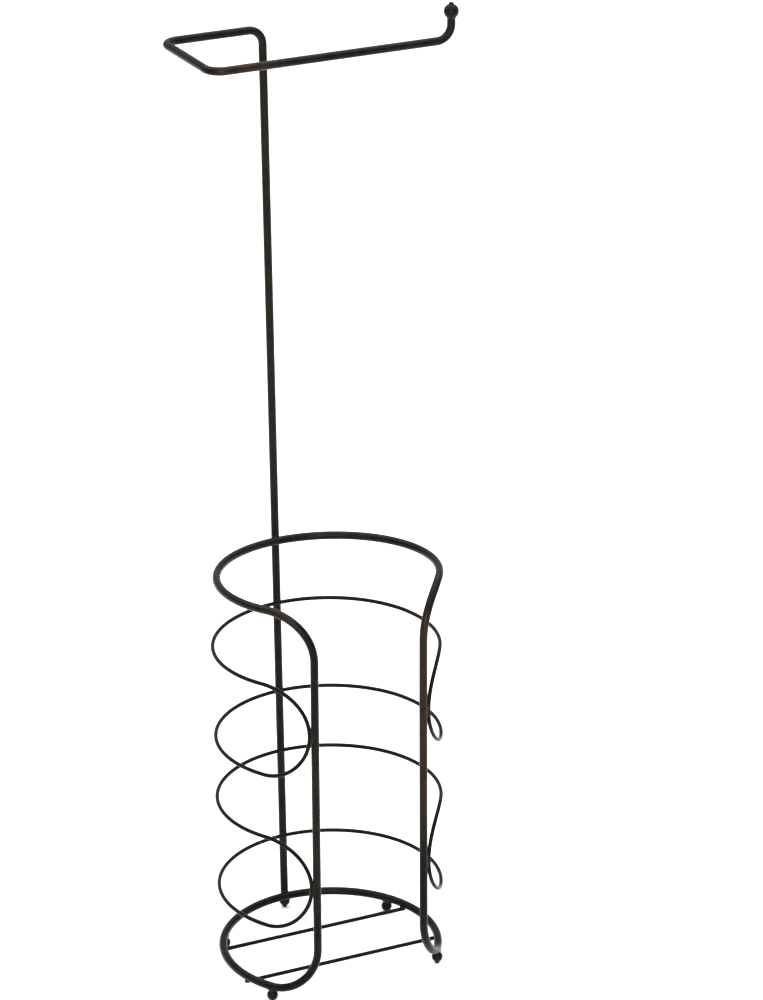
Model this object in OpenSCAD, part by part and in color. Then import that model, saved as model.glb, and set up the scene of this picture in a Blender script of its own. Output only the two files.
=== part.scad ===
// Free-standing toilet roll stand.
//
// A mast of heavy wire is bent over at the top into a level roll arm with a
// turned-up tip and a ball finial. Its foot is welded to the back of a round,
// open-fronted basket that stores the spare rolls upright. The basket is one
// closed loop of heavy wire, two closed bands of light wire and two floor rods,
// and the whole stand rests on five small ball feet.
//
// Millimetres, +Z up. The basket opens towards -Y, the mast stands at +Y, and
// the roll arm runs along X above the basket. The origin is the middle of the
// overall box, on the floor.

/* [Basket frame] */
// Radius of the basket, at the centre of the heavy wire
ring_r = 80; // [74:0.5:90]
// Diameter of the heavy wire of the basket frame, the mast and the arm
heavy_d = 6; // [4.8:0.1:6.6]
// Height of the upper ring above the lower ring, centre to centre
basket_h = 297.4; // [280:0.1:320]
// Rise of the upper ring from its middle to its front
ring_rise = 3.6; // [0:0.1:6]
// How far the sides of the upper ring stand to the right of the lower ring's
ring_sway = 1.6; // [0:0.1:3]
// Angle from the front to the left-hand upright
gap_left = 30.8; // [26:0.1:38]
// Angle from the front to the right-hand upright
gap_right = 34.4; // [26:0.1:38]
// Bend radius between the uprights and the rings
upright_bend_r = 36.4; // [20:0.1:42]

/* [Wire bands] */
// Diameter of the light wire of the bands and the floor rods
light_d = 3; // [2.2:0.1:3.4]
// Radius of the bands, at the centre of the light wire
band_r = 82; // [81.6:0.1:83]
// Height of the upper band's lower run above the lower ring
upper_band_z = 172; // [165:0.5:180]
// Height of the lower band's lower run above the lower ring
lower_band_z = 51; // [45:0.5:60]
// Height of a band, from its lower run to its upper run
band_h = 71.5; // [71.5:0.5:80]
// Bend radius at the ends of a band
band_bend_r = 35.6; // [20:0.1:35.6]
// How far the sides of the upper band's upper run stand to the left
band_sway = 1; // [0:0.1:2]

/* [Floor rods] */
// Distance of the back floor rod behind the middle of the basket
back_rod_y = 30; // [20:0.5:40]
// Distance of the front floor rod in front of the middle of the basket
front_rod_y = 21.7; // [15:0.1:40]

/* [Mast and roll arm] */
// Height of the mast's top corner above the lower ring
mast_h = 680; // [620:1:740]
// Lean of the mast towards the left, in degrees
mast_lean = 0.5; // [0:0.1:1.5]
// Length of the bar that runs left from the top of the mast
back_bar_l = 75.9; // [60:0.1:95]
// Length of the bar that runs forward to the arm
side_bar_l = 84.4; // [70:0.1:110]
// Length of the roll arm, between its two corners
arm_l = 181; // [150:0.5:200]
// Height of the finial's centre above the arm
tip_h = 20; // [18:0.1:40]
// Bend radius of the four bends of the rod, at the wire's centre
rod_bend_r = 11; // [9:0.5:14]
// Turn of the whole head about the mast, in degrees
head_turn = 1; // [-5:0.5:5]

/* [Balls] */
// Diameter of the finial ball
finial_d = 10.6; // [8:0.1:14]
// Diameter of a foot's ball
foot_d = 8.2; // [7:0.1:10]
// Depth of a foot's ball centre below the lower ring's wire centre
foot_drop = 6.8; // [6.4:0.1:9]
// Diameter of the neck between a foot's ball and the lower ring
neck_d = 5.4; // [4:0.1:5.8]
// Diameter of the pip on each ball
pip_d = 3.4; // [2.6:0.1:4.4]
// Height of the pip on each ball
pip_h = 1; // [0.8:0.1:3]
// Angle of the four basket feet from the left-right axis
foot_angle = 33.5; // [20:0.5:50]

/* [Hidden] */

// How far two welded wires sink into each other
weld = 0.2;
hr = heavy_d / 2;
lr = light_d / 2;

// The mast touches the outside of the rings, the bands touch the mast's front.
mast_y = ring_r + heavy_d - weld;
band_y = mast_y - hr - lr + weld - band_r;
floor_drop = foot_drop + foot_d / 2 + pip_h;

// Angles of the uprights, clockwise from the back as seen from above
left_a = -(180 - gap_left);
right_a = 180 - gap_right;

// --- Corner points of the mast and roll arm, from the foot to the finial
lean_x = -tan(mast_lean);
mast_x = 0.25;
foot_cut = sqrt(pow(foot_d / 2, 2) - hr * hr);
foot_pt = [mast_x - lean_x * (foot_drop - foot_cut), mast_y, foot_cut - foot_drop];
head_dir = [-cos(head_turn), -sin(head_turn), 0];
front_dir = [sin(head_turn), -cos(head_turn), 0];
top_pt = [mast_x + lean_x * mast_h, mast_y, mast_h];
back_corner = top_pt + back_bar_l * head_dir;
side_corner = back_corner + side_bar_l * front_dir;
arm_end = side_corner - arm_l * head_dir;
finial_c = arm_end + [0, 0, tip_h];
finial_cut = sqrt(pow(finial_d / 2, 2) - hr * hr);
rod_end = finial_c - [0, 0, finial_cut];

// --- Overall box, whose bottom centre is the origin
head_out = rod_bend_r * (cos(head_turn) + abs(sin(head_turn)) - 1);
x_min = min(min(back_corner[0], side_corner[0]) + head_out - hr, -band_r - band_sway - lr);
x_max = finial_c[0] + finial_d / 2;
y_min = -ring_r * cos(min(gap_left, gap_right)) - hr;
y_max = mast_y + foot_d / 2;
mid_x = (x_min + x_max) / 2;
mid_y = (y_min + y_max) / 2;

// --- Vector helpers
function unit(v) = v / norm(v);
function off_axis(v, t) = unit(v - (v * t) * t);

// --- A closed rounded rectangle in the unrolled wall of the basket.
// Each entry is [arc length from the back, height].
function loop_path(u0, u1, z0, z1, rt, rb, na, nc, nu) = concat(
    [for (i = [0:na - 1]) [u0 + rt + (u1 - u0 - 2 * rt) * i / na, z1]],
    [for (i = [0:nc - 1]) let(a = 90 - 90 * i / nc) [u1 - rt + rt * cos(a), z1 - rt + rt * sin(a)]],
    [for (i = [0:nu - 1]) [u1, z1 - rt - (z1 - rt - z0 - rb) * i / nu]],
    [for (i = [0:nc - 1]) let(a = -90 * i / nc) [u1 - rb + rb * cos(a), z0 + rb + rb * sin(a)]],
    [for (i = [0:na - 1]) [u1 - rb - (u1 - u0 - 2 * rb) * i / na, z0]],
    [for (i = [0:nc - 1]) let(a = -90 - 90 * i / nc) [u0 + rb + rb * cos(a), z0 + rb + rb * sin(a)]],
    [for (i = [0:nu - 1]) [u0, z0 + rb + (z1 - rt - z0 - rb) * i / nu]],
    [for (i = [0:nc - 1]) let(a = 180 - 90 * i / nc) [u0 + rt + rt * cos(a), z1 - rt + rt * sin(a)]]
);

// Rolls the unrolled path, which runs from height z0 to z0 + h, onto a cylinder
// of radius r about [0, yc]. The front of its top stands higher than its middle
// by rise, and the back lower. The sides of its top stand to the right by sway.
function rolled(path, r, yc, z0, h, rise = 0, sway = 0) = [
    for (q = path)
        let(a = q[0] / r * 180 / PI, aside = sway * pow(sin(a), 2) * pow((q[1] - z0) / h, 6))
        [r * sin(a) + aside, yc + r * cos(a), q[1] - rise * cos(a) * q[1] / basket_h]
];

// --- Round wire swept along a closed curve. The section is turned so that its
// first corner always points away from the axis at [0, yc].
module closed_wire(pts, r, sides, yc) {
    n = len(pts);
    corners = [
        for (i = [0:n - 1])
            let(
                t = unit(pts[(i + 1) % n] - pts[(i + n - 1) % n]),
                out = off_axis([pts[i][0], pts[i][1] - yc, 0], t),
                side = cross(t, out)
            )
            for (j = [0:sides - 1])
                let(a = 360 * j / sides) pts[i] + r * (cos(a) * out + sin(a) * side)
    ];
    faces = [
        for (i = [0:n - 1]) for (j = [0:sides - 1])
            let(
                i2 = (i + 1) % n, j2 = (j + 1) % sides,
                a = i * sides + j, b = i2 * sides + j, c = i2 * sides + j2, d = i * sides + j2
            )
            each [[a, b, c], [a, c, d]]
    ];
    polyhedron(points = corners, faces = faces, convexity = 8);
}

// --- Points of one round bend at corner c, between the corners before and after.
function bend(p, c, q, r, n) =
    let(
        u = unit(c - p), v = unit(q - c), turn = acos(u * v),
        back = r * tan(turn / 2), side = unit(v - (v * u) * u), mid = c - back * u + r * side
    )
    [for (i = [0:n]) let(a = turn * i / n) mid + r * (sin(a) * u - cos(a) * side)];

// --- Round wire swept along an open curve with flat ends.
module open_wire(pts, r, sides, guide) {
    n = len(pts);
    corners = [
        for (i = [0:n - 1])
            let(
                t = unit(pts[min(i + 1, n - 1)] - pts[max(i - 1, 0)]),
                out = off_axis(guide, t), side = cross(t, out)
            )
            for (j = [0:sides - 1])
                let(a = 360 * j / sides) pts[i] + r * (cos(a) * out + sin(a) * side)
    ];
    skin = [
        for (i = [0:n - 2]) for (j = [0:sides - 1])
            let(
                j2 = (j + 1) % sides,
                a = i * sides + j, b = (i + 1) * sides + j, c = (i + 1) * sides + j2, d = i * sides + j2
            )
            each [[a, b, c], [a, c, d]]
    ];
    ends = [
        for (j = [1:sides - 2])
            each [[0, j, j + 1], [(n - 1) * sides, (n - 1) * sides + j + 1, (n - 1) * sides + j]]
    ];
    polyhedron(points = corners, faces = concat(skin, ends), convexity = 8);
}

module placed() {
    translate([-mid_x, -mid_y, floor_drop]) children();
}

// --- Heavy loop: upper ring, two uprights and lower ring in one piece of wire
arc = PI * ring_r / 180;
frame_path = rolled(
    loop_path(left_a * arc, right_a * arc, 0, basket_h, upright_bend_r, upright_bend_r, 44, 8, 2),
    ring_r, 0, 0, basket_h, ring_rise, ring_sway
);

module basket_frame() {
    color([0.11, 0.105, 0.1]) placed() closed_wire(frame_path, hr, 16, 0);
}

// Angle about the band's own centre at which its end lies against the back of
// an upright: the two wires are one weld short of touching.
function band_end(a) =
    let(
        d = [ring_r * sin(a), ring_r * cos(a) - band_y], far = norm(d), gap = hr + lr - weld,
        back = acos((band_r * band_r + far * far - gap * gap) / (2 * band_r * far))
    )
    sign(a) * (abs(atan2(d[0], d[1])) - back);

module band(z, sway) {
    arc = PI * band_r / 180;
    color([0.1, 0.095, 0.09])
    placed()
    closed_wire(
        rolled(
            loop_path(band_end(left_a) * arc, band_end(right_a) * arc, z, z + band_h, band_bend_r, band_bend_r, 44, 9, 1),
            band_r, band_y, z, band_h, 0, sway
        ),
        lr, 10, band_y
    );
}

module upper_band() { band(upper_band_z, -band_sway); }
module lower_band() { band(lower_band_z, 0); }

// --- Light rod welded under the lower ring, its ends just clear of the ring's middle
module floor_rod(y) {
    half = sqrt(ring_r * ring_r - y * y) + 0.6;
    color([0.09, 0.085, 0.08])
    placed()
    translate([-half, y, -hr - lr + weld])
    rotate([0, 90, 0]) cylinder(r = lr, h = 2 * half, $fn = 32);
}

module floor_rod_front() { floor_rod(-front_rod_y); }
module floor_rod_back() { floor_rod(back_rod_y); }

// --- One rod: mast, back bar, side bar, roll arm and turned-up tip
module mast_and_roll_arm() {
    path = concat(
        [foot_pt, foot_pt + (top_pt - foot_pt) * 0.5],
        bend(foot_pt, top_pt, back_corner, rod_bend_r, 8),
        bend(top_pt, back_corner, side_corner, rod_bend_r, 8),
        bend(back_corner, side_corner, arm_end, rod_bend_r, 8),
        [(side_corner + arm_end) / 2],
        bend(side_corner, arm_end, finial_c, rod_bend_r, 8),
        [rod_end]
    );
    color([0.13, 0.125, 0.115])
    placed()
    open_wire(path, hr, 20, [1, 1, 1]);
}

// --- Ball of diameter d with its centre at the origin and a chamfered pip of
// diameter w and height h standing on it
module pipped_ball(d, w, h, fn) {
    edge = 0.4;
    sphere(d = d, $fn = fn);
    cylinder(d = w, h = d / 2 + h - edge, $fn = 32);
    translate([0, 0, d / 2 + h - edge]) cylinder(d1 = w, d2 = w - 2 * edge, h = edge, $fn = 32);
}

// --- Finial, cut flat where the end of the rod is welded on
module arm_finial() {
    color([0.12, 0.115, 0.105])
    placed()
    translate(finial_c)
    difference() {
        pipped_ball(finial_d, pip_d, pip_h, 48);
        translate([-finial_d, -finial_d, -2 * finial_d - finial_cut]) cube(2 * finial_d);
    }
}

// --- Foot of the mast: the same ball upside down, cut flat under the mast's end
module foot_under_mast() {
    color([0.1, 0.095, 0.09])
    placed()
    translate([mast_x + lean_x * -foot_drop, mast_y, -foot_drop])
    difference() {
        mirror([0, 0, 1]) pipped_ball(foot_d, pip_d, pip_h, 40);
        translate([-foot_d, -foot_d, foot_cut]) cube(2 * foot_d);
    }
}

// --- Basket foot: the ball hangs on a short neck that is saddled to the lower
// ring. side is +1 or -1 along X, front is +1 or -1 along Y.
module basket_foot(side, front) {
    at = [side * ring_r * cos(foot_angle), front * ring_r * sin(foot_angle), 0];
    color([0.1, 0.095, 0.09])
    placed()
    difference() {
        translate(at - [0, 0, foot_drop]) {
            mirror([0, 0, 1]) pipped_ball(foot_d, pip_d, pip_h, 40);
            cylinder(d = neck_d, h = foot_drop - hr / 2, $fn = 40);
        }
        open_wire([for (p = frame_path) if (norm(p - at) < 22) p], hr - weld, 16, [0, 0, 1]);
    }
}

module foot_back_left() { basket_foot(-1, 1); }
module foot_back_right() { basket_foot(1, 1); }
module foot_front_left() { basket_foot(-1, -1); }
module foot_front_right() { basket_foot(1, -1); }

basket_frame();
upper_band();
lower_band();
floor_rod_front();
floor_rod_back();
mast_and_roll_arm();
arm_finial();
foot_under_mast();
foot_back_left();
foot_back_right();
foot_front_left();
foot_front_right();
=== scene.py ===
import math

import bpy
import numpy as np
from mathutils import Matrix, Vector


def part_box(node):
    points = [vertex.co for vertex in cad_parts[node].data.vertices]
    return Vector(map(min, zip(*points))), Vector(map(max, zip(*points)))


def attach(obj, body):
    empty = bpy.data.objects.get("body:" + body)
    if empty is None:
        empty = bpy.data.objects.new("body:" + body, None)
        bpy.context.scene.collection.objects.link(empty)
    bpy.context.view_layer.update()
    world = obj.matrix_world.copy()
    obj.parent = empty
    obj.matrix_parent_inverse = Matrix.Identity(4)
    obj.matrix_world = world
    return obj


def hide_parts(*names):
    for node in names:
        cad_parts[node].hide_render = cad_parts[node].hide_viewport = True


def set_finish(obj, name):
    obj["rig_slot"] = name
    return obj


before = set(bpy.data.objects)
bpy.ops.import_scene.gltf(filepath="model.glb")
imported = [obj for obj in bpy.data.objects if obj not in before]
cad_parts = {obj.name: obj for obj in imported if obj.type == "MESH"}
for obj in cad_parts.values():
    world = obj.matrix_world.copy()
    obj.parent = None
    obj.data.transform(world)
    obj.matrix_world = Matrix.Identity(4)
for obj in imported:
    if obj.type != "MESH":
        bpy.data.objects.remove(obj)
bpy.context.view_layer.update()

# ----------------------------------------------------------------- the design, in mm, as in the CAD
RING_R, HEAVY_D, BASKET_H, RING_RISE, RING_SWAY = 80.0, 6.0, 297.4, 3.6, 1.6
GAP_LEFT, GAP_RIGHT, UPRIGHT_R = 30.8, 34.4, 36.4
LIGHT_D, BAND_R, BAND_H, BAND_END_R, BAND_SWAY = 3.0, 82.0, 71.5, 35.6, 1.0
UPPER_Z, LOWER_Z = 172.0, 51.0
BACK_ROD_Y, FRONT_ROD_Y = 30.0, 21.7
MAST_H, MAST_LEAN, BACK_BAR, SIDE_BAR, ARM_L = 680.0, 0.5, 75.9, 84.4, 181.0
TIP_H, ROD_R, HEAD_TURN = 20.0, 11.0, 1.0
FINIAL_D, FOOT_D, FOOT_DROP, NECK_D, PIP_D, PIP_H, FOOT_ANGLE = 10.6, 8.2, 6.8, 5.4, 3.4, 1.0, 33.5
WELD = 0.2
HR, LR = HEAVY_D / 2, LIGHT_D / 2
MAST_Y = RING_R + HEAVY_D - WELD
BAND_Y = MAST_Y - HR - LR + WELD - BAND_R
MAST_X, LEAN = 0.25, -math.tan(math.radians(MAST_LEAN))
LEFT_A, RIGHT_A = -(180 - GAP_LEFT), 180 - GAP_RIGHT
RAD = math.pi / 180


def v3(*a):
    return np.array(a, float)


def unit(v):
    return v / np.linalg.norm(v)


FOOT_CUT = math.sqrt((FOOT_D / 2) ** 2 - HR**2)
FINIAL_CUT = math.sqrt((FINIAL_D / 2) ** 2 - HR**2)
FOOT_PT = v3(MAST_X - LEAN * (FOOT_DROP - FOOT_CUT), MAST_Y, FOOT_CUT - FOOT_DROP)
HEAD_DIR = v3(-math.cos(HEAD_TURN * RAD), -math.sin(HEAD_TURN * RAD), 0)
FRONT_DIR = v3(math.sin(HEAD_TURN * RAD), -math.cos(HEAD_TURN * RAD), 0)
TOP_PT = v3(MAST_X + LEAN * MAST_H, MAST_Y, MAST_H)
BACK_CORNER = TOP_PT + BACK_BAR * HEAD_DIR
SIDE_CORNER = BACK_CORNER + SIDE_BAR * FRONT_DIR
ARM_END = SIDE_CORNER - ARM_L * HEAD_DIR
FINIAL_C = ARM_END + v3(0, 0, TIP_H)
ROD_END = FINIAL_C - v3(0, 0, FINIAL_CUT)

# The design frame's origin in the row frame, from CAD boxes whose places are known in the design frame too: across from
# the finial's centre, front to back from the back floor rod's centre, and up from the finial's top.
_lo, _hi = (np.array(c) * 1000 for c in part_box("mast_and_roll_arm"))
_flo, _fhi = (np.array(c) * 1000 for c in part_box("floor_rod_back"))
_fin = [np.array(c) * 1000 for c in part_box("arm_finial")]
OFFSET = v3(
    (_fin[0][0] + _fin[1][0]) / 2 - FINIAL_C[0],
    (_flo[1] + _fhi[1]) / 2 - BACK_ROD_Y,
    _fin[1][2] - (FINIAL_C[2] + FINIAL_D / 2 + PIP_H),
)


# ----------------------------------------------------------------- centre lines
def loop_path(u0, u1, z0, z1, r, step):
    """A rounded rectangle, clockwise from its upper left, as [arc length, height]."""
    out = []

    def line(a, b):
        n = max(2, int(np.linalg.norm(np.subtract(b, a)) / step))
        for i in range(n):
            out.append(np.add(a, np.multiply(np.subtract(b, a), i / n)))

    def arc(cx, cz, a0, a1):
        n = max(6, int(abs(a1 - a0) * RAD * r / step))
        for i in range(n):
            a = (a0 + (a1 - a0) * i / n) * RAD
            out.append((cx + r * math.cos(a), cz + r * math.sin(a)))

    line((u0 + r, z1), (u1 - r, z1))
    arc(u1 - r, z1 - r, 90, 0)
    line((u1, z1 - r), (u1, z0 + r))
    arc(u1 - r, z0 + r, 0, -90)
    line((u1 - r, z0), (u0 + r, z0))
    arc(u0 + r, z0 + r, -90, -180)
    line((u0, z0 + r), (u0, z1 - r))
    arc(u0 + r, z1 - r, 180, 90)
    return np.array([(float(a), float(b)) for a, b in out])


def rolled(path, r, yc, z0, h, rise=0.0, sway=0.0):
    a = path[:, 0] / r
    aside = sway * np.sin(a) ** 2 * ((path[:, 1] - z0) / h) ** 6
    return np.stack(
        [r * np.sin(a) + aside, yc + r * np.cos(a), path[:, 1] - rise * np.cos(a) * path[:, 1] / BASKET_H], 1
    )


def band_end(a):
    d = (RING_R * math.sin(a * RAD), RING_R * math.cos(a * RAD) - BAND_Y)
    far, gap = math.hypot(*d), HR + LR - WELD
    back = math.acos((BAND_R**2 + far**2 - gap**2) / (2 * BAND_R * far))
    return math.copysign(abs(math.atan2(d[0], d[1])) - back, a)


def frame_line(step=1.6):
    arc = RAD * RING_R
    return rolled(loop_path(LEFT_A * arc, RIGHT_A * arc, 0, BASKET_H, UPRIGHT_R, step), RING_R, 0, 0, BASKET_H, RING_RISE, RING_SWAY)


def band_line(z, step=1.3):
    return rolled(
        loop_path(band_end(LEFT_A) * BAND_R, band_end(RIGHT_A) * BAND_R, z, z + BAND_H, BAND_END_R, step),
        BAND_R, BAND_Y, z, BAND_H, 0.0, -BAND_SWAY if z == UPPER_Z else 0.0,
    )


def bend(p, c, q, r, n):
    u, v = unit(c - p), unit(q - c)
    turn = math.acos(float(np.clip(u @ v, -1, 1)))
    side = unit(v - (v @ u) * u)
    mid = c - r * math.tan(turn / 2) * u + r * side
    return [mid + r * (math.sin(turn * i / n) * u - math.cos(turn * i / n) * side) for i in range(n + 1)]


def mast_line(step=2.0):
    runs = [FOOT_PT, *bend(FOOT_PT, TOP_PT, BACK_CORNER, ROD_R, 20), *bend(TOP_PT, BACK_CORNER, SIDE_CORNER, ROD_R, 20),
            *bend(BACK_CORNER, SIDE_CORNER, ARM_END, ROD_R, 20), *bend(SIDE_CORNER, ARM_END, FINIAL_C, ROD_R, 20), ROD_END]
    out = [runs[0]]
    for a, b in zip(runs, runs[1:]):
        n = max(1, int(round(np.linalg.norm(b - a) / step)))
        out += [a + (b - a) * i / n for i in range(1, n + 1)]
    return np.array(out)


# ----------------------------------------------------------------- meshes
def seeded(k):
    return np.random.default_rng(abs(int(k)))


def link(name, verts, faces, smooth=True, uvs=None):
    me = bpy.data.meshes.new(name)
    me.from_pydata([tuple(float(c) for c in (v + OFFSET) * 0.001) for v in verts], [], faces)
    me.validate()
    me.update()
    if smooth:
        me.shade_smooth()
    if uvs is not None:
        layer = me.uv_layers.new(name="UVMap")
        layer.data.foreach_set("uv", np.asarray(uvs, np.float32).ravel())
    ob = bpy.data.objects.new(name, me)
    bpy.context.scene.collection.objects.link(ob)
    return ob


def paint(ob, **layers):
    """Per-vertex values that the materials read, one float attribute each."""
    for name, values in layers.items():
        a = ob.data.attributes.new(name, "FLOAT", "POINT")
        a.data.foreach_set("value", np.asarray(values, np.float32))


def curvature(pts, closed):
    n = len(pts)
    k = np.zeros(n)
    for i in range(n):
        if not closed and i in (0, n - 1):
            continue
        a, b = pts[i] - pts[i - 1], pts[(i + 1) % n] - pts[i]
        la, lb = np.linalg.norm(a), np.linalg.norm(b)
        c = float(np.clip(a @ b / (la * lb), -1, 1))
        k[i] = math.acos(c) / ((la + lb) / 2)
    return k


def smooth_row(x, closed, times=6):
    for _ in range(times):
        if closed:
            x = (np.roll(x, 1) + 2 * x + np.roll(x, -1)) / 4
        else:
            y = x.copy()
            y[1:-1] = (x[:-2] + 2 * x[1:-1] + x[2:]) / 4
            x = y
    return x


def wire(name, pts, r, sides, closed, guide=None, axis=None, seed=1, swell=0.004, flat=0.035, tip=0.0):
    """A round wire along pts. The section is flattened a little inside tight bends, as bent rod is, and its
    radius wanders by swell. It returns the object and, for each vertex, its run number and outward normal."""
    n = len(pts)
    nxt = np.roll(pts, -1, 0) if closed else np.vstack([pts[1:], pts[-1:]])
    prv = np.roll(pts, 1, 0) if closed else np.vstack([pts[:1], pts[:-1]])
    t = nxt - prv
    t /= np.linalg.norm(t, axis=1)[:, None]
    if axis is not None:
        g = pts - axis
        g[:, 2] = 0
    else:
        g = np.tile(np.asarray(guide, float), (n, 1))
    out = g - (g * t).sum(1)[:, None] * t
    out /= np.linalg.norm(out, axis=1)[:, None]
    side = np.cross(t, out)
    k = smooth_row(curvature(pts, closed), closed)
    # direction towards the inside of the bend
    inward = nxt + prv - 2 * pts
    norm = np.linalg.norm(inward, axis=1)
    inward = np.where(norm[:, None] > 1e-5, inward / np.maximum(norm, 1e-9)[:, None], 0)
    for ax in range(3):
        inward[:, ax] = smooth_row(inward[:, ax], closed, 3)
    tight = np.clip(k * r * 2.2, 0, 1)
    rng = seeded(seed)
    s = np.arange(n)
    wander = sum(
        a * np.sin(2 * math.pi * (s * f / n) + rng.uniform(0, 6.28))
        for f, a in zip((3, 7, 13, 29), (0.4, 0.3, 0.2, 0.1))
    )
    verts, run, normals = [], [], []
    for j in range(sides):
        a = 2 * math.pi * j / sides
        d = math.cos(a) * out + math.sin(a) * side
        lean = (d * inward).sum(1)
        rr = r * (1 + swell * (wander - 1)) * (1 - flat * tight * np.clip(lean, 0, 1) ** 2 - flat * 0.4 * tight * np.clip(-lean, 0, 1) ** 2)
        verts.append(pts + d * rr[:, None])
        normals.append(d)
        run.append(s)
    verts = np.stack(verts, 1).reshape(-1, 3)
    normals = np.stack(normals, 1).reshape(-1, 3)
    run = np.stack(run, 1).ravel()
    length = np.concatenate([[0], np.cumsum(np.linalg.norm(np.diff(pts, axis=0), axis=1))])
    faces, uvs = [], []
    last = n if closed else n - 1
    total = length[-1] + (np.linalg.norm(pts[0] - pts[-1]) if closed else 0)
    for i in range(last):
        i2 = (i + 1) % n
        v0, v1 = length[i] / total, (length[i + 1] if i + 1 < n else total) / total
        for j in range(sides):
            j2 = (j + 1) % sides
            faces.append((i * sides + j, i2 * sides + j, i2 * sides + j2, i * sides + j2))
            u0, u1 = j / sides, (j + 1) / sides
            uvs += [(u0, v0), (u0, v1), (u1, v1), (u1, v0)]
    if not closed:
        # slightly domed ends: one inset ring and a centre
        for end, i, sign in ((0, 0, -1), (1, n - 1, 1)):
            base = i * sides
            ring = []
            for f, h in ((0.82, 0.12), (0.4, 0.2)):
                first = len(verts)
                verts = np.vstack([verts, pts[i] + (verts[base:base + sides] - pts[i]) * f + t[i] * sign * h * tip])
                normals = np.vstack([normals, np.tile(t[i] * sign, (sides, 1))])
                run = np.concatenate([run, np.full(sides, i)])
                ring.append(first)
            centre = len(verts)
            verts = np.vstack([verts, pts[i] + t[i] * sign * 0.22 * tip])
            normals = np.vstack([normals, t[i] * sign])
            run = np.concatenate([run, [i]])
            rings = [base, *ring]
            for a, b in zip(rings, rings[1:]):
                for j in range(sides):
                    j2 = (j + 1) % sides
                    q = (a + j, a + j2, b + j2, b + j) if sign > 0 else (a + j, b + j, b + j2, a + j2)
                    faces.append(q)
                    uvs += [(0, 0)] * 4
            for j in range(sides):
                j2 = (j + 1) % sides
                tri = (rings[-1] + j, rings[-1] + j2, centre) if sign > 0 else (rings[-1] + j, centre, rings[-1] + j2)
                faces.append(tri)
                uvs += [(0, 0)] * 3
    ob = link(name, verts, faces, uvs=uvs)
    return ob, run, normals, verts


def lathe(name, profile, seg=56, place=(0, 0, 0), flip=False, tilt=None):
    """Turns a profile of [radius, height] about the vertical. flip turns it upside down."""
    prof = np.array(profile, float)
    sgn = -1 if flip else 1
    verts = []
    for rr, zz in prof:
        if rr < 1e-6:
            verts.append(v3(0, 0, sgn * zz))
        else:
            verts += [v3(rr * math.cos(2 * math.pi * j / seg), rr * math.sin(2 * math.pi * j / seg), sgn * zz) for j in range(seg)]
    index, k = [], 0
    for rr, _ in prof:
        if rr < 1e-6:
            index.append([k] * seg)
            k += 1
        else:
            index.append(list(range(k, k + seg)))
            k += seg
    faces = []
    for a, b in zip(index, index[1:]):
        for j in range(seg):
            j2 = (j + 1) % seg
            f = [a[j], a[j2], b[j2], b[j]]
            f = list(dict.fromkeys(f))
            if len(f) > 2:
                faces.append(tuple(f if not flip else f[::-1]))
    if len(set(index[0])) > 1:
        faces.append(tuple(index[0] if flip else index[0][::-1]))
    if len(set(index[-1])) > 1:
        faces.append(tuple(index[-1][::-1] if flip else index[-1]))
    verts = np.array(verts)
    if tilt is not None:
        verts = verts @ np.array(tilt).T
    return link(name, verts + np.array(place, float), faces)


def ball_profile(d, pip_d, pip_h, fillet=0.55, edge=0.4, start=-90.0, steps=40):
    """Ball with a pip on top: the sphere, a concave fillet round the pip's root, the pip and its rounded rim."""
    R, pr = d / 2, pip_d / 2
    # the fillet's centre is fillet away from both the sphere and the pip's wall
    fx = pr + fillet
    fz = math.sqrt((R + fillet) ** 2 - fx**2)
    touch = math.atan2(fz, fx)
    out = []
    a0 = start * RAD
    for i in range(steps + 1):
        a = a0 + (touch - a0) * i / steps
        out.append((R * math.cos(a), R * math.sin(a)))
    b0 = math.atan2(-fz, -fx)          # towards the sphere's centre
    b1 = -math.pi                      # towards the pip's wall
    for i in range(1, 9):
        b = b0 + (b1 - b0) * i / 8
        out.append((fx + fillet * math.cos(b), fz + fillet * math.sin(b)))
    top = R + pip_h
    if out[-1][1] > top - edge:
        out = [p for p in out if p[1] <= top - edge]
    for i in range(0, 9):
        c = i / 8 * math.pi / 2
        out.append((pr - edge + edge * math.cos(c), top - edge + edge * math.sin(c)))
    out.append((pr * 0.45, top))
    out.append((0, top))
    return out


# ----------------------------------------------------------------- welds: the smooth union of two wires near where they meet
def seg_dist(p, pts):
    best = None
    for a, b in zip(pts, pts[1:]):
        ab = b - a
        t = np.clip(((p - a) @ ab) / (ab @ ab), 0, 1)
        d = np.sqrt((((p - a) - t[..., None] * ab) ** 2).sum(-1))
        best = d if best is None else np.minimum(best, d)
    return best


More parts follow.
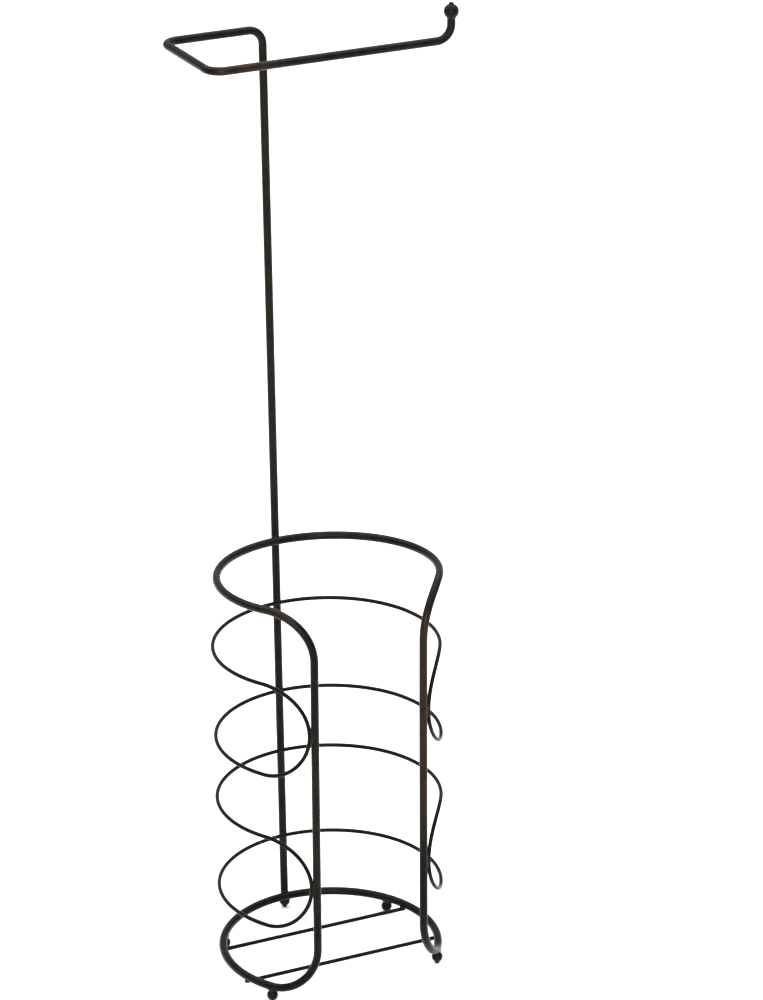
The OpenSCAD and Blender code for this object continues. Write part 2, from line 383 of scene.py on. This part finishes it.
def surface_nets(f, lo, step):
    """Vertices and quads of the surface f = 0, with f a grid of values."""
    s = f < 0
    cells = s[:-1, :-1, :-1].astype(int)
    corners = [(i, j, k) for i in (0, 1) for j in (0, 1) for k in (0, 1)]
    n = np.array(f.shape) - 1

    def at(a, c):
        return a[c[0]:c[0] + n[0], c[1]:c[1] + n[1], c[2]:c[2] + n[2]]

    total = sum(at(s, c).astype(int) for c in corners)
    mixed = (total > 0) & (total < 8)
    sum_p = np.zeros((*n, 3))
    cnt = np.zeros(n)
    for c in corners:
        for ax in range(3):
            if c[ax]:
                continue
            e = list(c)
            e[ax] = 1
            a, b = at(f, c), at(f, e)
            cross = (a < 0) != (b < 0)
            t = np.where(cross, a / np.where(cross, a - b, 1), 0)
            p = np.zeros((*n, 3))
            for k in range(3):
                p[..., k] = c[k]
            p[..., ax] += t
            sum_p += p * cross[..., None]
            cnt += cross
    idx = -np.ones(n, int)
    where = np.argwhere(mixed)
    idx[mixed] = np.arange(len(where))
    verts = (where + sum_p[mixed] / cnt[mixed][:, None]) * step + lo
    quads = []
    for ax in range(3):
        u, v = (ax + 1) % 3, (ax + 2) % 3
        a = f
        sl0 = [slice(None)] * 3
        sl1 = [slice(None)] * 3
        sl0[ax], sl1[ax] = slice(0, -1), slice(1, None)
        cross = (a[tuple(sl0)] < 0) != (a[tuple(sl1)] < 0)
        inside = a[tuple(sl0)] < 0
        for p in np.argwhere(cross):
            if p[u] == 0 or p[v] == 0 or p[u] >= n[u] or p[v] >= n[v]:
                continue
            q = []
            for du, dv in ((0, 0), (1, 0), (1, 1), (0, 1)):
                c = p.copy()
                c[u] -= du
                c[v] -= dv
                q.append(idx[tuple(c)])
            if min(q) < 0:
                continue
            quads.append(tuple(q if inside[tuple(p)] else q[::-1]))
    return verts, quads


def relax(verts, faces, times, keep=0.5):
    v = verts.copy()
    pairs = np.array([(f[i], f[(i + 1) % len(f)]) for f in faces for i in range(len(f))])
    for _ in range(times):
        acc, cnt = np.zeros_like(v), np.zeros(len(v))
        np.add.at(acc, pairs[:, 0], v[pairs[:, 1]])
        np.add.at(cnt, pairs[:, 0], 1)
        np.add.at(acc, pairs[:, 1], v[pairs[:, 0]])
        np.add.at(cnt, pairs[:, 1], 1)
        v = v * keep + (acc / np.maximum(cnt, 1)[:, None]) * (1 - keep)
    return v


def near_part(line, c, reach):
    """The stretch of a centre line within reach of c, in order."""
    d = np.linalg.norm(line - c, axis=1)
    i = int(d.argmin())
    n = len(line)
    pts = [line[i]]
    k = i
    while True:
        k -= 1
        if d[k % n] > reach or (k < 0 and np.linalg.norm(line[k % n] - line[(k + 1) % n]) > 6) or len(pts) > 60:
            break
        pts.insert(0, line[k % n])
    k = i
    while True:
        k += 1
        if d[k % n] > reach or (k >= n and np.linalg.norm(line[k % n] - line[(k - 1) % n]) > 6) or len(pts) > 120:
            break
        pts.append(line[k % n])
    return np.array(pts)


def weld(name, a, b, centre, k, reach, seed, step=0.26, sunk=0.1, lumps=0.05):
    """The fillet between two solids given as distance functions, cut off inside them at reach from centre."""
    n = int(2 * (reach + 0.6) / step) + 1
    lo = centre - (n - 1) * step / 2
    g = np.stack(np.meshgrid(*[lo[i] + step * np.arange(n) for i in range(3)], indexing="ij"), -1)
    da, db = a(g), b(g)
    h = np.clip(k - np.abs(da - db), 0, None) / k
    f = np.minimum(da, db) - h * h * k / 4 + sunk
    rng = seeded(seed)
    for _ in range(5):
        w = rng.normal(size=3)
        w *= rng.uniform(0.9, 2.2) / np.linalg.norm(w)
        f = f + lumps * h * np.sin((g - centre) @ w + rng.uniform(0, 6.28)) * 0.5
    f = np.maximum(f, np.linalg.norm(g - centre, axis=-1) - reach)
    verts, quads = surface_nets(f, lo, step)
    if not quads:
        raise ValueError(name + " is empty")
    verts = relax(verts, quads, 2)
    return link(name, verts, quads)


def tube_sdf(line, r):
    return lambda p: seg_dist(p, line) - r


# ----------------------------------------------------------------- build
FRAME_L, MAST_L = frame_line(), mast_line()
UPPER_L, LOWER_L = band_line(UPPER_Z), band_line(LOWER_Z)
made = {}


def keep(ob, mat_slot, node=None):
    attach(ob, "root")
    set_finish(ob, mat_slot)
    if node:
        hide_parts(node)
    made[ob.name] = ob
    return ob


def blob(x, lo, hi, soft):
    """1 between lo and hi, falling to 0 over soft on either side."""
    return np.clip((x - lo) / soft + 1, 0, 1) * np.clip((hi - x) / soft + 1, 0, 1)


# basket frame
ob, run, nor, vs = wire("basket_frame_wire", FRAME_L, HR, 28, True, axis=v3(0, 0, 0), seed=3)
ang = np.degrees(np.arctan2(vs[:, 0], vs[:, 1]))
on_right = blob(ang, 138, 153, 6)
on_left = blob(ang, -160, -136, 8)
rub = 0.95 * on_right * blob(vs[:, 2], 150, 262, 60)          # hand contact on the right-hand upright
rub = np.maximum(rub, 0.7 * blob(ang, -138, -118, 8) * blob(vs[:, 2], 276, 312, 8))
rub = np.maximum(rub, 0.4 * on_left * blob(vs[:, 2], 110, 180, 50))
top = np.clip(nor[:, 2], 0, 1) ** 2 * blob(vs[:, 2], 288, 320, 6)
rub = np.maximum(rub, 0.35 * top)
paint(ob, rub=rub, run=run * 1.6 / 1000)
keep(ob, "heavy_wire", "basket_frame")

# bands
for nm, ln, seed in (("upper_band", UPPER_L, 5), ("lower_band", LOWER_L, 7)):
    ob, run, nor, vs = wire(nm + "_wire", ln, LR, 20, True, axis=v3(0, BAND_Y, 0), seed=seed, flat=0.02)
    inner = np.clip(-(nor[:, 0] * vs[:, 0] + nor[:, 1] * (vs[:, 1] - BAND_Y)) / BAND_R, 0, 1) ** 2
    paint(ob, rub=0.3 * inner, run=run * 1.3 / 1000)
    keep(ob, "light_wire", nm)

# floor rods
for nm, y, seed in (("floor_rod_back", BACK_ROD_Y, 11), ("floor_rod_front", -FRONT_ROD_Y, 13)):
    half = math.sqrt(RING_R**2 - y * y) + 0.6
    z = -HR - LR + WELD
    xs = np.linspace(-half, half, 96)
    ln = np.stack([xs, np.full_like(xs, y), np.full_like(xs, z)], 1)
    ob, run, nor, vs = wire(nm + "_wire", ln, LR, 20, False, guide=(0, 0, 1), seed=seed, flat=0)
    paint(ob, rub=0.45 * np.clip(nor[:, 2], 0, 1) ** 2, run=run * 1.6 / 1000)
    keep(ob, "light_wire", nm)

# mast, head and arm
ob, run, nor, vs = wire("mast_and_roll_arm_wire", MAST_L, HR, 28, False, guide=(1, 1, 1), seed=17, flat=0.045)
rub = 0.85 * blob(vs[:, 0], -74, -40, 14) * blob(vs[:, 1], -6, 10, 3) * (vs[:, 2] > 660)
rub = np.maximum(rub, 0.3 * np.clip(nor[:, 2], 0, 1) * blob(vs[:, 0], -60, 90, 10) * (vs[:, 2] > 660))
rub = np.maximum(rub, 0.34 * blob(vs[:, 2], 330, 640, 60) * blob(vs[:, 1], 78, 92, 1))
rub = np.maximum(rub, 0.15)
paint(ob, rub=rub, run=run * 2.0 / 1000)
keep(ob, "heavy_wire", "mast_and_roll_arm")

# finial
prof = ball_profile(FINIAL_D, PIP_D, PIP_H, fillet=0.6, start=-math.degrees(math.asin(FINIAL_CUT / (FINIAL_D / 2))))
ob = lathe("arm_finial_ball", prof, place=FINIAL_C)
paint(ob, rub=np.full(len(ob.data.vertices), 0.25), run=np.zeros(len(ob.data.vertices)))
keep(ob, "balls", "arm_finial")

# feet: the ball hangs from a neck that flares into the ring above it
foot_centres = {}
for nm, sx, sy in (("foot_back_left", -1, 1), ("foot_back_right", 1, 1), ("foot_front_left", -1, -1), ("foot_front_right", 1, -1)):
    c = v3(sx * RING_R * math.cos(FOOT_ANGLE * RAD), sy * RING_R * math.sin(FOOT_ANGLE * RAD), -FOOT_DROP)
    foot_centres[nm] = c
    prof = ball_profile(FOOT_D, PIP_D, PIP_H, fillet=0.5, start=-90)
    # the neck, upwards from the ball once the profile is turned upside down
    nr, fil = NECK_D / 2, 0.45
    fx = nr + fil
    fz = math.sqrt((FOOT_D / 2 + fil) ** 2 - fx**2)
    touch = math.atan2(fz, fx)
    upper = []
    for i in range(0, 7):
        b = -math.pi + (math.atan2(-fz, -fx) + math.pi) * i / 6
        upper.append((fx + fil * math.cos(b), -(fz + fil * math.sin(b))))
    neck = [(0, -(FOOT_DROP - HR * 0.55)), (nr, -(FOOT_DROP - HR * 0.55)), (nr, -(FOOT_DROP - HR * 0.9))] + [p for p in upper if -p[1] < FOOT_DROP - HR * 0.95]
    body = [p for p in prof if p[1] > -math.sin(touch) * FOOT_D / 2 + 1e-6]
    ob = lathe(nm + "_ball", neck + body, place=c, flip=True)
    paint(ob, rub=np.full(len(ob.data.vertices), 0.12), run=np.zeros(len(ob.data.vertices)))
    keep(ob, "balls", nm)
prof = ball_profile(FOOT_D, PIP_D, PIP_H, fillet=0.5, start=-math.degrees(math.asin(FOOT_CUT / (FOOT_D / 2))))
c = v3(MAST_X + LEAN * -FOOT_DROP, MAST_Y, -FOOT_DROP)
foot_centres["foot_under_mast"] = c
ob = lathe("foot_under_mast_ball", prof, place=c, flip=True)
paint(ob, rub=np.full(len(ob.data.vertices), 0.12), run=np.zeros(len(ob.data.vertices)))
keep(ob, "balls", "foot_under_mast")


# welds
def cross_weld(name, la, ra, lb, rb, guess, k, reach, seed, slot):
    pa, pb = near_part(la, guess, reach + 8), near_part(lb, guess, reach + 8)
    d = np.linalg.norm(pa[:, None] - pb[None], axis=-1)
    i, j = np.unravel_index(d.argmin(), d.shape)
    w = ra / (ra + rb)
    centre = pa[i] * (1 - w) + pb[j] * w
    ob = weld(name, tube_sdf(pa, ra), tube_sdf(pb, rb), centre, k, reach, seed, step=0.24 if rb > 2 else 0.2)
    paint(ob, rub=np.full(len(ob.data.vertices), 0.0), run=np.zeros(len(ob.data.vertices)))
    return keep(ob, slot)


def at_mast(z):
    return v3(MAST_X + LEAN * z, MAST_Y, z)


fine_frame, fine_up, fine_lo, fine_mast = frame_line(0.8), band_line(UPPER_Z, 0.8), band_line(LOWER_Z, 0.8), mast_line(1.0)
z_back = BASKET_H - RING_RISE
cross_weld("weld_mast_upper_ring", fine_mast, HR, fine_frame, HR, v3(MAST_X + LEAN * z_back, 82.7, z_back), 2.6, 4.6, 21, "heavy_wire")
cross_weld("weld_mast_lower_ring", fine_mast, HR, fine_frame, HR, v3(MAST_X, 82.7, 0), 2.6, 4.6, 22, "heavy_wire")
for nm, ln, z in (("upper_band_top", fine_up, UPPER_Z + BAND_H), ("upper_band_bottom", fine_up, UPPER_Z),
                  ("lower_band_top", fine_lo, LOWER_Z + BAND_H), ("lower_band_bottom", fine_lo, LOWER_Z)):
    cross_weld("weld_mast_" + nm, fine_mast, HR, ln, LR, v3(MAST_X + LEAN * z, 82.3, z), 1.9, 3.6, 23 + int(z), "light_wire")
for side, a in (("left", LEFT_A), ("right", RIGHT_A)):
    up = v3(RING_R * math.sin(a * RAD), RING_R * math.cos(a * RAD), 0)
    for nm, ln, z in (("upper", fine_up, UPPER_Z), ("lower", fine_lo, LOWER_Z)):
        cross_weld(f"weld_{nm}_band_{side}_upright", fine_frame, HR, ln, LR, up * 0.985 + v3(0, 2.5, z + BAND_H / 2), 1.9, 5.2, 50 + int(z + a), "light_wire")
for nm, y in (("back", BACK_ROD_Y), ("front", -FRONT_ROD_Y)):
    half = math.sqrt(RING_R**2 - y * y)
    xs = np.linspace(-half - 0.6, half + 0.6, 120)
    z = -HR - LR + WELD
    ln = np.stack([xs, np.full_like(xs, y), np.full_like(xs, z)], 1)
    for side, sx in (("left", -1), ("right", 1)):
        cross_weld(f"weld_{nm}_rod_{side}", fine_frame, HR, ln, LR, v3(sx * (half - 0.3), y, -HR), 1.9, 3.6, 80 + int(y + sx * 5), "light_wire")
for nm, c in foot_centres.items():
    if nm == "foot_under_mast":
        continue
    neck_l = np.array([c + v3(0, 0, 2.0), c + v3(0, 0, FOOT_DROP - 0.4)])
    ring_l = near_part(fine_frame, v3(c[0], c[1], 0), 12)
    ob = weld("weld_" + nm, tube_sdf(neck_l, NECK_D / 2), tube_sdf(ring_l, HR), v3(c[0], c[1], -HR), 1.7, 3.9, 90 + int(c[0] + 2 * c[1]), step=0.22)
    paint(ob, rub=np.full(len(ob.data.vertices), 0.0), run=np.zeros(len(ob.data.vertices)))
    keep(ob, "balls")
for nm, ball_c, br, end, away in (("weld_foot_under_mast", foot_centres["foot_under_mast"], FOOT_D / 2, FOOT_PT, unit(TOP_PT - FOOT_PT)),
                                  ("weld_arm_finial", FINIAL_C, FINIAL_D / 2, ROD_END, v3(0, 0, -1))):
    rod_l = np.array([end - away * 1.5, end + away * 12])
    ob = weld(nm, lambda p, c=ball_c, r=br: np.linalg.norm(p - c, axis=-1) - r, tube_sdf(rod_l, HR), end, 1.3, 4.4, 97 + int(br), step=0.22, sunk=0.07, lumps=0.03)
    paint(ob, rub=np.full(len(ob.data.vertices), 0.0), run=np.zeros(len(ob.data.vertices)))
    keep(ob, "balls")


# ----------------------------------------------------------------- finish: dark oil-rubbed bronze over steel wire
def finish_material(name, seed, dark, light, rub_colour, rough, grain, peel):
    m = bpy.data.materials.new(name)
    m.use_nodes = True
    nt = m.node_tree
    nt.nodes.clear()

    def node(kind, x, y, **props):
        n = nt.nodes.new(kind)
        n.location = (x, y)
        for k, val in props.items():
            setattr(n, k, val)
        return n

    def wire_up(a, b):
        nt.links.new(a, b)

    out = node("ShaderNodeOutputMaterial", 900, 0)
    bsdf = node("ShaderNodeBsdfPrincipled", 620, 0)
    wire_up(bsdf.outputs["BSDF"], out.inputs["Surface"])
    tc = node("ShaderNodeTexCoord", -1400, 0)
    mp = node("ShaderNodeMapping", -1220, 0)
    mp.inputs["Location"].default_value = (seed * 0.37, seed * 0.11, seed * 0.23)
    wire_up(tc.outputs["Object"], mp.inputs["Vector"])

    def noise(scale, detail, roughness, x, y, distortion=0.0):
        n = node("ShaderNodeTexNoise", x, y)
        n.inputs["Scale"].default_value = scale
        n.inputs["Detail"].default_value = detail
        n.inputs["Roughness"].default_value = roughness
        n.inputs["Distortion"].default_value = distortion
        wire_up(mp.outputs["Vector"], n.inputs["Vector"])
        return n

    def ramp(src, stops, x, y):
        r = node("ShaderNodeValToRGB", x, y)
        els = r.color_ramp.elements
        while len(els) < len(stops):
            els.new(0.5)
        for e, (p, c) in zip(els, stops):
            e.position = p
            e.color = (*c, 1) if len(c) == 3 else c
        wire_up(src, r.inputs["Fac"])
        return r

    def mix(fac, a, b, x, y, blend="MIX"):
        n = node("ShaderNodeMix", x, y, data_type="RGBA", blend_type=blend)
        if isinstance(fac, float):
            n.inputs[0].default_value = fac
        else:
            wire_up(fac, n.inputs[0])
        for sock, val in ((n.inputs[6], a), (n.inputs[7], b)):
            if isinstance(val, tuple):
                sock.default_value = (*val, 1)
            else:
                wire_up(val, sock)
        return n.outputs[2]

    def calc(op, a, b, x, y, clamp=False):
        n = node("ShaderNodeMath", x, y, operation=op, use_clamp=clamp)
        for sock, val in zip(n.inputs, (a, b)):
            if val is None:
                continue
            if isinstance(val, (int, float)):
                sock.default_value = val
            else:
                wire_up(val, sock)
        return n.outputs[0]

    broad = noise(22, 3, 0.55, -1000, 420)
    cloud = noise(130, 4, 0.6, -1000, 160, 0.4)
    spots = noise(520, 3, 0.5, -1000, -100)
    fine = noise(grain, 2, 0.55, -1000, -360)
    base = ramp(calc("ADD", calc("MULTIPLY", broad.outputs["Fac"], 0.45, -820, 420), calc("MULTIPLY", cloud.outputs["Fac"], 0.55, -820, 240), -660, 340),
                [(0.36, dark), (0.62, light)], -500, 340)
    rub = node("ShaderNodeAttribute", -1000, 660, attribute_name="rub")
    broken = calc("MULTIPLY_ADD", cloud.outputs["Fac"], 1.5, -500, 620)
    nt.nodes[-1].inputs[2].default_value = -0.12
    mask = calc("MULTIPLY", rub.outputs["Fac"], broken, -320, 620, clamp=True)
    colour = mix(mask, base.outputs["Color"], rub_colour, -120, 420)
    # tiny bare specks where the coat is thin
    speck = ramp(spots.outputs["Fac"], [(0.70, (0, 0, 0)), (0.78, (1, 1, 1))], -500, -100)
    colour = mix(calc("MULTIPLY", speck.outputs["Color"], 0.35, -280, -60), colour, tuple(min(1, c * 2.2) for c in rub_colour), 120, 360)
    wire_up(colour, bsdf.inputs["Base Color"])
    r = calc("ADD", calc("MULTIPLY", cloud.outputs["Fac"], 0.16, -120, 120), rough - 0.08, 60, 120)
    r = calc("SUBTRACT", r, calc("MULTIPLY", mask, 0.08, -120, 0), 240, 120, clamp=True)
    wire_up(r, bsdf.inputs["Roughness"])
    bsdf.inputs["Metallic"].default_value = METALLIC
    bsdf.inputs["IOR"].default_value = 1.45
    bsdf.inputs["Specular IOR Level"].default_value = SPEC_LEVEL
    bsdf.inputs["Specular Tint"].default_value = (SPEC_TINT, SPEC_TINT, SPEC_TINT, 1)
    b1 = node("ShaderNodeBump", 240, -260)
    b1.inputs["Strength"].default_value = peel
    b1.inputs["Distance"].default_value = 0.00012
    wire_up(fine.outputs["Fac"], b1.inputs["Height"])
    b2 = node("ShaderNodeBump", 420, -260)
    b2.inputs["Strength"].default_value = 0.35
    b2.inputs["Distance"].default_value = 0.00025
    wire_up(cloud.outputs["Fac"], b2.inputs["Height"])
    wire_up(b1.outputs["Normal"], b2.inputs["Normal"])
    wire_up(b2.outputs["Normal"], bsdf.inputs["Normal"])
    return m


METALLIC, SPEC_LEVEL, SPEC_TINT = 0.30, 0.32, 0.10
heavy = finish_material("dark_bronze_heavy_wire", 1, (0.0034, 0.0034, 0.0026), (0.0080, 0.0080, 0.0064), (0.024, 0.0155, 0.0105), 0.27, 2600, 0.30)
light = finish_material("dark_bronze_light_wire", 2, (0.0026, 0.0026, 0.0021), (0.0056, 0.0056, 0.0047), (0.012, 0.0086, 0.0064), 0.31, 3200, 0.30)
balls = finish_material("dark_bronze_balls", 3, (0.0036, 0.0036, 0.0029), (0.0080, 0.0078, 0.0064), (0.020, 0.014, 0.010), 0.29, 3000, 0.35)
weld_m = finish_material("dark_bronze_welds", 4, (0.0090, 0.0088, 0.0076), (0.018, 0.0175, 0.0155), (0.028, 0.020, 0.0155), 0.46, 1800, 0.6)
for ob in made.values():
    m = weld_m if ob.name.startswith("weld") else {"heavy_wire": heavy, "light_wire": light, "balls": balls}[ob["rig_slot"]]
    ob.data.materials.append(m)

# ----------------------------------------------------------------- studio
def stage_material(name, colour, rough):
    m = bpy.data.materials.new(name)
    m.use_nodes = True
    b = m.node_tree.nodes["Principled BSDF"]
    b.inputs["Base Color"].default_value = (*colour, 1)
    b.inputs["Roughness"].default_value = rough
    b.inputs["Specular IOR Level"].default_value = 0.0
    return m


def plane(name, size, z):
    me = bpy.data.meshes.new(name)
    s = size / 2
    me.from_pydata([(-s, -s, z), (s, -s, z), (s, s, z), (-s, s, z)], [], [(0, 1, 2, 3)])
    ob = bpy.data.objects.new(name, me)
    bpy.context.scene.collection.objects.link(ob)
    return ob


floor = plane("studio_floor", 60.0, 0.0)
floor.data.materials.append(stage_material("pale_floor", (0.93, 0.93, 0.93), 0.9))

world = bpy.data.worlds.new("soft_studio")
bpy.context.scene.world = world
world.use_nodes = True
bg = world.node_tree.nodes["Background"]
bg.inputs["Color"].default_value = (1, 1, 1, 1)
bg.inputs["Strength"].default_value = 0.60

AZ, EL, ROLL = -24.97036 * RAD, 22.31985 * RAD, -0.35493 * RAD
back = v3(math.sin(AZ) * math.cos(EL), -math.cos(AZ) * math.cos(EL), math.sin(EL))
right = unit(np.cross(-back, v3(0, 0, 1)))
up = np.cross(right, -back)
right2 = right * math.cos(ROLL) + up * math.sin(ROLL)
up2 = -right * math.sin(ROLL) + up * math.cos(ROLL)


def area(name, centre, towards, size, power, colour=(1, 1, 1), shape="RECTANGLE", size_y=None):
    li = bpy.data.lights.new(name, "AREA")
    li.shape = shape
    li.size = size
    if size_y:
        li.size_y = size_y
    li.energy = power
    li.color = colour
    ob = bpy.data.objects.new(name, li)
    ob.location = Vector(centre)
    ob.rotation_mode = "QUATERNION"
    ob.rotation_quaternion = (Vector(towards) - Vector(centre)).to_track_quat("-Z", "Y")
    bpy.context.scene.collection.objects.link(ob)
    return ob


area("overhead_soft", (0.0, 0.2, 3.4), (0.0, 0.0, 0.0), 6.0, 330, size_y=6.0)
area("front_soft", (-1.25, -2.9, 1.35), (0.0, 0.0, 0.35), 1.5, 90, size_y=1.8)

cam = bpy.data.cameras.new("photo_view")
cam.sensor_fit = "AUTO"
cam.sensor_width = 36.0
cam.lens = 4044.2295 * 36.0 / 1000.0
cam.clip_start, cam.clip_end = 0.05, 100
cam_ob = bpy.data.objects.new("photo_view", cam)
bpy.context.scene.collection.objects.link(cam_ob)
look = v3(67.26093, 49.92576, 324.54456) + OFFSET
pos = (look + back * 2956.11745) * 0.001
cam_ob.matrix_world = Matrix((
    (right2[0], up2[0], back[0], pos[0]),
    (right2[1], up2[1], back[1], pos[1]),
    (right2[2], up2[2], back[2], pos[2]),
    (0, 0, 0, 1),
))
bpy.context.scene.camera = cam_ob
bpy.context.scene.view_settings.view_transform = "Standard"
